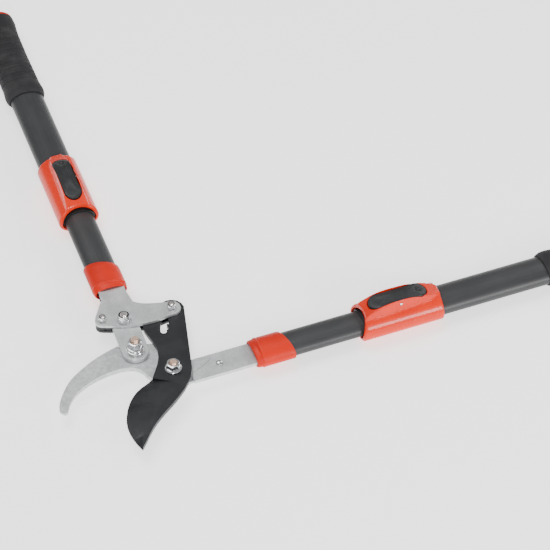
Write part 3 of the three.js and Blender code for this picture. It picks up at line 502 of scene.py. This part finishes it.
# Hump's half width at its foot: tapers evenly from the mouth, and is pulled in smoothly at the far end
def humpFoot(x):
    s = x - collar["from"]
    pull = smoothStep(collar["length"] - collar["footPullOver"], collar["length"], s)
    return collar["foot"] - collar["footTaper"] * s - collar["footPull"] * pull


# Collar: a section is an oval with an arched top. Where |y| is under the hump's foot, the top is lifted to
# the hump's level through a smooth step, and a crease stands along the foot as a bell curve. Sections run
# outside from the mouth, each rim a quarter circle, then back through the bore.
def collarMesh(handle):
    c, r = collar, rocker
    # columns round the section: closest where the foot and its crease run
    share = np.concatenate([np.linspace(0.64, 0.36, 34), np.linspace(0.345, 0, 14)])
    quarter = np.concatenate([np.linspace(0, np.arccos(0.655), 26), np.arccos(share)])
    below = np.linspace(np.pi, 2 * np.pi, 60)[1:-1]
    angle = np.concatenate([quarter, np.pi - quarter[:-1][::-1], below])[None, :]

    turnIn = c["edge"] * (1 - np.cos(np.linspace(0, np.pi / 2, 9)))
    middle = np.linspace(c["edge"], c["length"] - c["edge"], 96)[1:-1]
    s = np.concatenate([turnIn, middle, c["length"] - turnIn[::-1]])
    bite = lambda inside: c["edge"] - np.sqrt(c["edge"] ** 2 - np.maximum(0, c["edge"] - inside) ** 2)
    far = bite(c["length"] - s)
    shrink = bite(s) + far
    x = c["from"] + s
    reach = c["mouthReach"] * (1 - smoothStep(0, c["mouthFade"], s / c["length"]))
    outside = np.stack([x, c["a"] - shrink, c["b"] - shrink, c["arch"] - shrink - c["archDrop"] * far, reach,
                        humpLevel(x) - shrink], -1)
    deep = c["from"] + c["mouthDepth"]
    bore = [[c["to"], *outerBore, outerBore[1], 0, 0], [deep, *outerBore, outerBore[1], 0, 0]]
    hood = [[deep - c["hoodStep"] - c["hoodRun"] * u, *outerBore, c["hood"], c["mouthReach"] * u, 0]
            for u in np.linspace(0, 1, 8)]
    x, a, b, arch, reach, top = np.concatenate([outside, bore, hood]).T[:, :, None]

    upper = np.sin(angle) > 0
    up = np.maximum(0, np.sin(angle))
    y = a * np.cos(angle)
    along = x - c["slant"] * handle["side"] * np.cos(angle) + reach * up ** 1.5
    base = np.where(upper, arch * up, b * np.sin(angle))
    foot = humpFoot(x)
    crown = 1 - smoothStep(foot - c["footSoft"], foot, np.abs(y))
    z = base + crown * np.maximum(0, np.where(upper, top - base, 0))
    t = (x - c["from"]) / c["length"]
    zone = smoothStep(*c["creaseIn"], t) * (1 - smoothStep(*c["creaseEnd"], t)) * (top > 1) * upper
    z = z + c["crease"] * zone * np.exp(-((np.abs(y) - foot - c["creaseOut"]) / c["creaseWide"]) ** 2)
    skin = gridMesh("collar", np.stack([along, y, z], -1), closeRows=True)

    long, wide = r["length"] + r["pocketLong"], r["width"] + r["pocketWide"]
    pocket = stadiumPrism(long, wide, r["at"], c["arch"] + r["pocketFloor"], 60)
    hole = uprightRod(tube["outerHole"], 0, 40, tube["firstHole"])
    return carve(skin, [pocket, hole, axleBore()])


# Round-ended outline: a circle of radius width/2 whose halves are moved apart
def stadiumRing(length, width, x, columns=120):
    angle = np.linspace(0, 2 * np.pi, columns, endpoint=False) + np.pi / columns
    r = width / 2
    apart = np.sign(np.cos(angle)) * (length / 2 - r)
    return np.stack([x + r * np.cos(angle) + apart, r * np.sin(angle)], -1)


# Cutter with a round-ended outline: the same ring at two levels, each closed to its middle
def stadiumPrism(length, width, x, low, high):
    ring = stadiumRing(length, width, x)
    middle = np.tile([x, 0.0], (len(ring), 1))
    level = lambda xy, z: np.column_stack([xy, np.full(len(xy), z)])
    rows = [level(middle, low), level(ring, low), level(ring, high), level(middle, high)]
    return gridMesh("prism", np.stack(rows))


rocker = {"length": 65, "width": 19.4, "at": 163.5, "axisZ": 23.4, "underAbove": 1.9, "underRise": 2.0,
          "rimBelow": 0.2, "rimHigh": 0.3, "rimLow": 0.25, "crown": 1.35, "crownFall": 0.4, "edgeBand": 0.2,
          "dimpleAt": 23, "dimple": 2.24, "dimpleRadius": 3.0, "hollowAt": -20, "hollow": 0.9,
          "hollowLong": 7, "hollowWide": 6.5, "pocketLong": 2.4, "pocketWide": 1.0, "pocketFloor": 0.3}
axle = {"radius": 1.6, "half": 11.4, "chamfer": 0.25, "bore": 1.9, "boreHalf": 20}


def axleBore():  # cutter for the rocker's axle: a rod across the handle, wider than the axle
    return crossRod(axle["bore"], axle["boreHalf"], rocker["at"], rocker["axisZ"])


# Rocker: rings of a round-ended outline, each a spine that shortens plus a radius that shrinks. The
# underside rises as a square towards the grip end. The top follows the hump, with a crown across, a finger
# hollow at the mouth end and a round dimple at the grip end, both bell curves.
def rockerMesh():
    r = rocker
    ring = stadiumRing(r["length"], r["width"], 0.0, 144)
    straight = r["length"] / 2 - r["width"] / 2
    spineX = np.sign(ring[:, 0]) * np.minimum(np.abs(ring[:, 0]), straight)
    spine = np.column_stack([spineX, np.zeros(len(ring))])
    floor = collar["arch"] + r["underAbove"]

    def ringAt(scale, level):
        shorten = (0.35 + 0.65 * min(1, scale * 1.6)) * min(1, scale * 3)
        xy = spine * shorten + (ring - spine) * scale
        return np.column_stack([xy[:, 0] + r["at"], xy[:, 1], level(xy, scale)])

    def under(xy, scale):
        return floor + r["underRise"] * np.maximum(0, 2 * xy[:, 0] / r["length"]) ** 2

    def rim(xy):
        return humpLevel(xy[:, 0] + r["at"]) - r["rimBelow"]

    def top(xy, scale):
        x, y = xy.T
        edge = np.sqrt(np.maximum(0, 1 - max(0, (scale - 1 + r["edgeBand"]) / r["edgeBand"]) ** 2))
        across = 1 - (y / (r["width"] / 2)) ** 2
        crown = (r["crown"] - r["crownFall"] * (2 * x / r["length"]) ** 2) * (0.55 * edge + 0.45 * across)
        fromDimple = ((x - r["dimpleAt"]) ** 2 + y ** 2) / r["dimpleRadius"] ** 2
        dimple = r["dimple"] * np.exp(-fromDimple ** 1.6)
        fromHollow = ((x - r["hollowAt"]) / r["hollowLong"]) ** 2 + (y / r["hollowWide"]) ** 2
        return rim(xy) + crown - dimple - r["hollow"] * np.exp(-fromHollow)

    rows = [ringAt(scale, under) for scale in (0.0, 0.5, 0.96)]
    rows += [ringAt(1.0, lambda xy, scale: under(xy, scale) + r["rimLow"])]
    rows += [ringAt(1.0, lambda xy, scale: rim(xy) - r["rimHigh"])]
    scales = np.concatenate([np.linspace(1, 0.8, 9), np.linspace(0.77, 0, 30)])
    rows += [ringAt(scale, top) for scale in scales]
    return gridMesh("rocker", np.stack(rows))


# side and top are how far the grip stands out of the tube at each station along it
grip = {"at": [335, 338, 345, 357, 410, 455, 473, 484], "side": [1, 3.2, 4, 2.8, 2.4, 3.1, 4.9, 4.4],
        "top": [1, 3.0, 4, 3.4, 3.7, 3.8, 4.3, 4.0], "groovesFrom": 350, "groovesTo": 458, "grooveFade": 6,
        "groove": 0.9, "pitch": 11, "squareness": 2.15}


# Grip: oval whose two half sizes run evenly from station to station, smoothed by a running mean of nine. The
# grooves are |cos| to the 14th power, one every pitch, faded out smoothly at both ends.
def gripMesh():
    g = grip
    start, end = g["at"][0], g["at"][-1]
    x = np.linspace(start, end, 220)
    fadeOut = smoothStep(g["groovesTo"] - g["grooveFade"], g["groovesTo"], x)
    zone = smoothStep(g["groovesFrom"], g["groovesFrom"] + g["grooveFade"], x) * (1 - fadeOut)
    groove = g["groove"] * zone * np.abs(np.cos((x - g["groovesFrom"]) * np.pi / g["pitch"])) ** 14
    mean = lambda values: np.convolve(np.pad(values, 4, "edge"), np.ones(9) / 9, "valid")
    a = mean(np.interp(x, g["at"], np.array(g["side"]) + tube["outerA"])) - groove
    b = mean(np.interp(x, g["at"], np.array(g["top"]) + tube["outerB"])) - groove
    rows = [[*row, g["squareness"]] for row in zip(x, a, b)]
    rows += [[end, *outerBore, 2], [start, *outerBore, 2]]
    return gridMesh("grip", ovalRows(rows), closeRows=True)


cap = {"plugFrom": 467, "plugTip": 1.8, "plugRoot": 1.5, "flangeFrom": 484.3, "domeFrom": 487.2, "end": 491,
       "side": 4.2, "top": 3.8, "ease": 0.2, "easeRun": 0.5, "round": 3.2, "pole": 0.01}


# End cap: a plug, a flange with an eased edge, and a quarter-ellipse dome round a flat middle
def capMesh():
    a, b, c = tube["outerA"], tube["outerB"], cap
    wideA, wideB = a + c["side"], b + c["top"]
    rows = [[c["plugFrom"], c["pole"], c["pole"], 2], [c["plugFrom"], a - c["plugTip"], b - c["plugTip"], 2],
            [c["flangeFrom"], a - c["plugRoot"], b - c["plugRoot"], 2],
            [c["flangeFrom"], wideA - c["ease"], wideB - c["ease"], 2],
            [c["flangeFrom"] + c["easeRun"], wideA, wideB, 2], [c["domeFrom"], wideA, wideB, 2]]
    for angle in np.linspace(0, 1, 8) * np.pi / 2:
        x = c["domeFrom"] + (c["end"] - c["domeFrom"]) * np.sin(angle)
        inset = c["round"] * (1 - np.cos(angle))
        rows += [[x, wideA - inset, wideB - inset, 2]]
    rows += [[c["end"], c["pole"], c["pole"], 2]]
    return gridMesh("cap", ovalRows(rows))


spring = {"at": 187.5, "radius": 3.4, "wire": 0.28, "low": 19.1, "high": 20.9, "turns": 1.75, "pressed": 0.12}


# Spring: a small circle carried along a helix, x + R cos, R sin, rising evenly, closed at both ends
def springMesh():
    p = spring
    t = np.linspace(0, 1, 90)[:, None]
    around = np.linspace(0, 2 * np.pi, 12, endpoint=False)[None, :]
    turn = 2 * np.pi * p["turns"] * t
    reach = p["radius"] + p["wire"] * np.cos(around)
    level = p["low"] + p["wire"] + (p["high"] - p["low"] - 2 * p["wire"]) * t + p["wire"] * np.sin(around)
    coil = np.stack([p["at"] + reach * np.cos(turn), reach * np.sin(turn), level], -1)
    ends = coil[[0, -1]].mean(1, keepdims=True) + np.zeros((1, 12, 1))
    mesh = gridMesh("spring", np.concatenate([ends[:1], coil, ends[1:]]))
    keepValue(mesh, "tint", np.zeros(len(mesh.vertices)))
    return mesh


for label, handle in handles.items():
    where = placer(handle)
    fixed, sleeve, button = handle["fixed"], label + "_sleeve", label + "_button"
    t = tube
    settle(ferruleMesh(handle), where, "ferrule_" + label, fixed, orangeSatin)
    holesAt = [t["firstHole"] + t["holeStep"] * k for k in range(t["holes"])]
    holes = [uprightRod(t["hole"], 0, t["cutTo"], x) for x in holesAt]
    holes += [uprightRod(t["tangHole"], -t["cutTo"], t["cutTo"], t["tangHoleAt"])]
    inner = carve(sleeveMesh("inner", t["innerFrom"], t["innerTo"], t["innerA"], t["innerB"]), holes)
    settle(inner, where, "inner_tube_" + label, fixed, tubeGrey)
    hole = uprightRod(t["outerHole"], 0, t["cutTo"], t["firstHole"])
    outer = carve(sleeveMesh("outer", t["outerFrom"], t["outerTo"], t["outerA"], t["outerB"]), [hole])
    settle(outer, where, "outer_tube_" + label, sleeve, tubeGrey)
    settle(collarMesh(handle), where, "collar_" + label, sleeve, orangeGloss, 40)
    pad = carve(rockerMesh(), [axleBore()])
    settle(pad, where, "lock_button_" + label, button, blackPlastic, 45)
    pin = crossRod(axle["radius"], axle["half"], rocker["at"], rocker["axisZ"], 48, axle["chamfer"])
    settle(pin, where, "button_pin_" + label, sleeve, boltZinc)
    coil = settle(springMesh(), where, "button_spring_" + label, sleeve, boltZinc, 60)
    foot = where(np.array([spring["at"], 0.0, spring["low"]]))
    label + "_button_rock"
    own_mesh(coil)
    settle(gripMesh(), where, "grip_" + label, sleeve, gripRubber, 60)
    settle(capMesh(), where, "end_cap_" + label, sleeve, orangeSatin)
    print("handle ready:", label)


# Fastener: each row is [radius, z, flats], where flats is 0 for round or the width across the flats, which
# limits the radius to flats/2/cos(angle from the middle of a flat). A thread takes a saw shape off it.
def turnedHex(name, at, rows, columns=96, thread=None, closed=False):
    r, z, flats = (np.array(rows, float).T)[:, :, None]
    angle = np.linspace(0, 2 * np.pi, columns, endpoint=False)[None, :]
    off = angle % (np.pi / 3) - np.pi / 6
    reach = np.where(flats > 0, flats / 2 / np.cos(off), 1e3)
    radius = np.minimum(r, reach)
    if thread:
        low, high, pitch, depth = thread
        saw = np.abs(((z / pitch - angle / (2 * np.pi)) % 1) * 2 - 1)
        zone = ((z > low) & (z < high)) * (r > 0)
        radius = radius - depth * saw * zone
    points = np.stack([at[0] + radius * np.cos(angle), at[1] + radius * np.sin(angle), z + 0 * angle], -1)
    return gridMesh(name, points, closeRows=closed)


def boxOf(node):  # middle of a node, and its lowest and highest level, in millimetres
    low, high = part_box(node)
    return np.array(low + high) / 2 / mm, low.z / mm, high.z / mm


# Bolts: tint is how copper the thread looks
bolts = {
    "pivot_bolt": {"body": "fixed_side", "shank": 8, "flats": 13, "head": 5.2, "pitch": 1.25, "bare": 20,
                   "tint": 1.0},
    "link_bolt": {"body": "fixed_side", "shank": 8, "flats": 13, "head": 4.6, "pitch": 1.25, "bare": 20,
                   "tint": 1.0},
    "handle_bolt": {"body": "moving_arm", "shank": 8, "flats": 13, "head": 5.2, "pitch": 1.25, "bare": 21,
                    "tint": 0.25},
    "ratchet_pin": {"body": "moving_arm", "shank": 5.5, "flats": 8, "head": 3.5, "pitch": 0.9, "bare": 21,
                    "tint": 0.25},
    "spacer_bolt": {"body": "moving_arm", "shank": 5, "flats": 8, "head": 3.5, "pitch": 0.8, "bare": 21,
                    "tint": 0.25},
}
boltEdges = {"chamfer": 0.4, "chamferHigh": 0.9, "under": 0.2, "underHigh": 0.25, "tip": 0.8,
             "threadDepth": 0.42, "rowsPerTurn": 8}  # the depth is a share of the pitch


# Bolt: chamfered hexagon head below, shank, and a threaded end with a small chamfer
def boltMesh(name, bolt):
    centre, zLow, zTop = boxOf(name)
    e, r, flats, pitch = boltEdges, bolt["shank"] / 2, bolt["flats"], bolt["pitch"]
    corner = flats / math.sqrt(3)
    seat = zLow + bolt["head"]
    rows = [[0, zLow, 0], [flats / 2 - e["chamfer"], zLow, flats], [corner, zLow + e["chamferHigh"], flats],
            [corner, seat - e["underHigh"], flats], [flats / 2 - e["under"], seat, flats], [r, seat, 0]]
    threadFrom = max(bolt["bare"], seat + 2)
    rows += [[r, z, 0] for z in np.linspace(seat + 0.3, threadFrom, 6)]
    rows += [[r, z, 0] for z in np.arange(threadFrom + 0.1, zTop - 0.85, pitch / e["rowsPerTurn"])]
    rows += [[r - 0.35, zTop - 0.5, 0], [r - e["tip"], zTop, 0], [0, zTop, 0]]
    thread = (threadFrom, zTop - e["tip"], pitch, e["threadDepth"] * pitch)
    mesh = turnedHex(name, centre, rows, 72, thread)
    level = readPoints(mesh)[:, 2]
    keepValue(mesh, "tint", smoothStep(threadFrom, threadFrom + 1.5, level) * bolt["tint"])
    return mesh


for name, bolt in bolts.items():
    settle(boltMesh(name, bolt), rowPlace, name, bolt["body"], boltZinc, 30)

# Nuts: flange nuts on the blade and link have a brim, the rest have a dark locking ring
nuts = {
    "pivot_nut": {"body": "fixed_side", "bore": 4.3, "flats": 13, "brim": 8.95},
    "link_nut": {"body": "fixed_side", "bore": 4.3, "flats": 13, "brim": 8.25},
    "handle_nut": {"body": "moving_arm", "bore": 4.3, "flats": 13, "brim": 0},
    "ratchet_nut": {"body": "moving_arm", "bore": 3.05, "flats": 8.6, "brim": 0},
    "spacer_nut": {"body": "moving_arm", "bore": 2.8, "flats": 8, "brim": 0},
}


# Flange nut's rows: round brim with a sloping top, hexagon with a chamfer, and back down the bore
def flangeRows(zLow, zTop, flats, bore, brim):
    corner = flats / math.sqrt(3)
    return [[bore + 0.3, zLow, 0], [brim - 0.3, zLow, 0], [brim, zLow + 0.3, 0], [brim, zLow + 0.9, 0],
            [brim - 0.35, zLow + 1.25, 0], [corner + 0.15, zLow + 2.1, 0], [corner, zLow + 2.3, flats],
            [corner, zTop - 1.1, flats], [flats / 2 + 0.3, zTop - 0.35, flats],
            [flats / 2 - 0.7, zTop, flats], [bore + 0.5, zTop, 0], [bore, zTop - 0.6, 0],
            [bore, zLow + 0.4, 0]]


# Lock nut's rows: chamfered hexagon, a round collar over its top third, and back down the bore
def lockRows(zLow, zTop, flats, bore):
    corner, neck = flats / math.sqrt(3), flats / 2 - 0.35
    collarLow = zTop - 0.32 * (zTop - zLow)
    return [[bore + 0.4, zLow, 0], [flats / 2 - 0.3, zLow, flats], [corner, zLow + 0.7, flats],
            [corner, collarLow - 0.8, flats], [flats / 2 + 0.1, collarLow, flats],
            [neck, collarLow + 0.15, 0], [neck, zTop - 0.7, 0], [neck - 0.25, zTop - 0.2, 0],
            [neck - 0.9, zTop, 0], [bore + 0.9, zTop, 0],
            [bore + 0.5, zTop - 0.35, 0], [bore, zTop - 0.5, 0], [bore, zLow + 0.4, 0]]


for name, nut in nuts.items():
    centre, zLow, zTop = boxOf(name)
    flats, bore, brim = nut["flats"], nut["bore"], nut["brim"]
    rows = flangeRows(zLow, zTop, flats, bore, brim) if brim else lockRows(zLow, zTop, flats, bore)
    mesh = turnedHex(name, centre, rows, closed=True)
    at = readPoints(mesh)
    radial = np.hypot(at[:, 0] - centre[0], at[:, 1] - centre[1])
    locking = (at[:, 2] > zTop - 0.6) & (radial < flats / 2 - 0.8) & (brim == 0)
    keepValue(mesh, "ring", locking * 1.0)
    settle(mesh, rowPlace, name, nut["body"], boltZinc, 30)

# Washer: a flat ring with eased edges
washer = {"bore": 4.3, "brim": 9.4}
centre, zLow, zTop = boxOf("link_washer")
bore, brim = washer["bore"], washer["brim"]
rows = [[bore, zLow + 0.2, 0], [bore + 0.2, zLow, 0], [brim - 0.3, zLow, 0], [brim, zLow + 0.4, 0],
        [brim, zTop - 0.9, 0], [brim - 0.4, zTop - 0.3, 0], [brim - 1.1, zTop, 0], [bore + 0.3, zTop, 0],
        [bore, zTop - 0.2, 0]]
ringMesh = turnedHex("washer", centre, rows, closed=True)
settle(ringMesh, rowPlace, "link_washer", "fixed_side", boltZinc)
print("fasteners ready")

# Plates keep the CAD outline: a copy's triangles are merged and dissolved, then its edges are eased, in mm
plates = {
    "hook": {"body": "fixed_side", "look": forgedHook, "slot": "forged_hook", "ease": 0.55},
    "strap_right": {"body": "fixed_side", "look": zincPlate, "slot": "zinc_plate", "ease": 0.35},
    "strap_rivet": {"body": "fixed_side", "look": boltZinc, "slot": "fastener", "ease": 0.0},
    "blade": {"body": "blade", "look": bladeCoat, "slot": "blade_coat", "ease": 0.25},
    "link": {"body": "link", "look": zincPlate, "slot": "zinc_plate", "ease": 0.35},
    "side_plate_front": {"body": "moving_arm", "look": zincPlate, "slot": "zinc_plate", "ease": 0.4},
    "side_plate_rear": {"body": "moving_arm", "look": darkSteel, "slot": "dark_steel", "ease": 0.35},
    "plate_spacer": {"body": "moving_arm", "look": blackPlastic, "slot": "black_plastic", "ease": 0.35},
}
plateMerge = 1e-6  # metres
plateFlat, plateSharp, plateEase = 1, 32, 35  # degrees: faces dissolved, edges left sharp, edges eased
for name, sheet in plates.items():
    mesh = frame["nodes"][name].data.copy()
    mesh.name = name
    for layer in [a.name for a in mesh.attributes if a.name != "position" and not a.name.startswith(".")]:
        mesh.attributes.remove(mesh.attributes[layer])
    work = bmesh.new()
    work.from_mesh(mesh)
    bmesh.ops.remove_doubles(work, verts=work.verts, dist=plateMerge)
    bmesh.ops.dissolve_limit(work, angle_limit=math.radians(plateFlat), verts=work.verts, edges=work.edges)
    work.to_mesh(mesh)
    work.free()
    mesh.shade_smooth()
    mesh.set_sharp_from_angle(angle=math.radians(plateSharp))
    mesh.materials.clear()
    mesh.materials.append(sheet["look"])
    piece = asObject(mesh)
    piece.name = "look_" + name
    if sheet["ease"]:
        soft = piece.modifiers.new("eased edges", "BEVEL")
        soft.width = sheet["ease"] * mm
        soft.segments = 2
        soft.limit_method = "ANGLE"
        soft.angle_limit = math.radians(plateEase)
        soft.use_clamp_overlap = True
    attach(piece, sheet["body"])
    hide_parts(name)
print("plates ready")

# What stays as the CAD node, mostly hidden inside the tubes, gets its finish here
kept = {"tang_insert": blackPlastic, "tang_pin": boltZinc, "inner_tube_plug": blackPlastic,
        "guide_bush": blackPlastic, "lock_pin": boltZinc}
for stem, look in kept.items():
    for label in handles:
        mesh = frame["nodes"][stem + "_" + label].data
        mesh.materials.clear()
        mesh.materials.append(look)

# Floor: a pale, plain square just under the lowest point, with a slight glow
floor = {"below": 0.0006, "half": 6, "dark": (0.86, 0.86, 0.86), "light": (0.89, 0.89, 0.89), "glow": 1.3}


def floorRecipe(start, place):  # broad, faint cloudiness between the two greys
    cloud = place.noise(3.0, 2.0)
    return cloud.between(0.3, 0.7).mix(floor["dark"], floor["light"]), 0.75 + cloud * 0.1, cloud, 1e-5


half, level = floor["half"], cadBox[0].z - floor["below"]
corners = [(-half, -half, level), (half, -half, level), (half, half, level), (-half, half, level)]
floorMesh = bpy.data.meshes.new("floor")
floorMesh.from_pydata(corners, [], [(0, 1, 2, 3)])
paleFloor = finish("paleFloor", floorRecipe, specular=0.1)
floorShader = paleFloor.node_tree.nodes["Principled BSDF"]
floorShader.inputs["Emission Color"].default_value = (1, 1, 1, 1)
floorShader.inputs["Emission Strength"].default_value = floor["glow"]
floorMesh.materials.append(paleFloor)
asObject(floorMesh)

# Camera: turn and up in degrees, aimed beside the pivot by right and over, from away metres
camera = {"turn": -21.8, "up": 44.6, "lens": 153.8, "sensor": 36, "away": 2.4177,
          "right": 0.10442, "over": 0.09918, "level": 0.013}
turn, up = math.radians(camera["turn"]), math.radians(camera["up"])
ahead = Vector((-math.sin(turn) * math.cos(up), math.cos(turn) * math.cos(up), -math.sin(up)))
rightWay = Vector((math.cos(turn), math.sin(turn), 0))
overWay = rightWay.cross(ahead)
aim = Vector((0, 0, camera["level"])) + rightWay * camera["right"] + overWay * camera["over"]
lens = bpy.data.cameras.new("view")
lens.lens = camera["lens"]
lens.sensor_width = camera["sensor"]
eye = bpy.data.objects.new("view", lens)
eye.location = aim - ahead * camera["away"]
eye.rotation_euler = ahead.to_track_quat("-Z", "Y").to_euler()
bpy.context.scene.collection.objects.link(eye)
bpy.context.scene.camera = eye

# Studio: a wide soft light above, a key from the near left, a low one and a side one, and a bright surround
lights = [
    {"name": "over", "at": (-0.3, 0.6, 1.9), "size": 1.2, "power": 24},
    {"name": "key", "at": (-0.55, -1.35, 1.15), "size": 0.4, "power": 14},
    {"name": "low", "at": (0.80, -1.25, 0.60), "size": 0.42, "power": 15},
    {"name": "side", "at": (1.4, 0.7, 1.0), "size": 0.5, "power": 6},
]
lightAim = Vector((0.1, 0.1, 0))
surround = 0.42
for each in lights:
    lamp = bpy.data.lights.new(each["name"], "AREA")
    lamp.size = each["size"]
    lamp.energy = each["power"]
    holder = bpy.data.objects.new(each["name"], lamp)
    holder.location = each["at"]
    holder.rotation_euler = (lightAim - Vector(each["at"])).to_track_quat("-Z", "Y").to_euler()
    bpy.context.scene.collection.objects.link(holder)
world = bpy.data.worlds.new("surround")
world.use_nodes = True
world.node_tree.nodes["Background"].inputs["Color"].default_value = (1, 1, 1, 1)
world.node_tree.nodes["Background"].inputs["Strength"].default_value = surround
bpy.context.scene.world = world
print("stage ready")
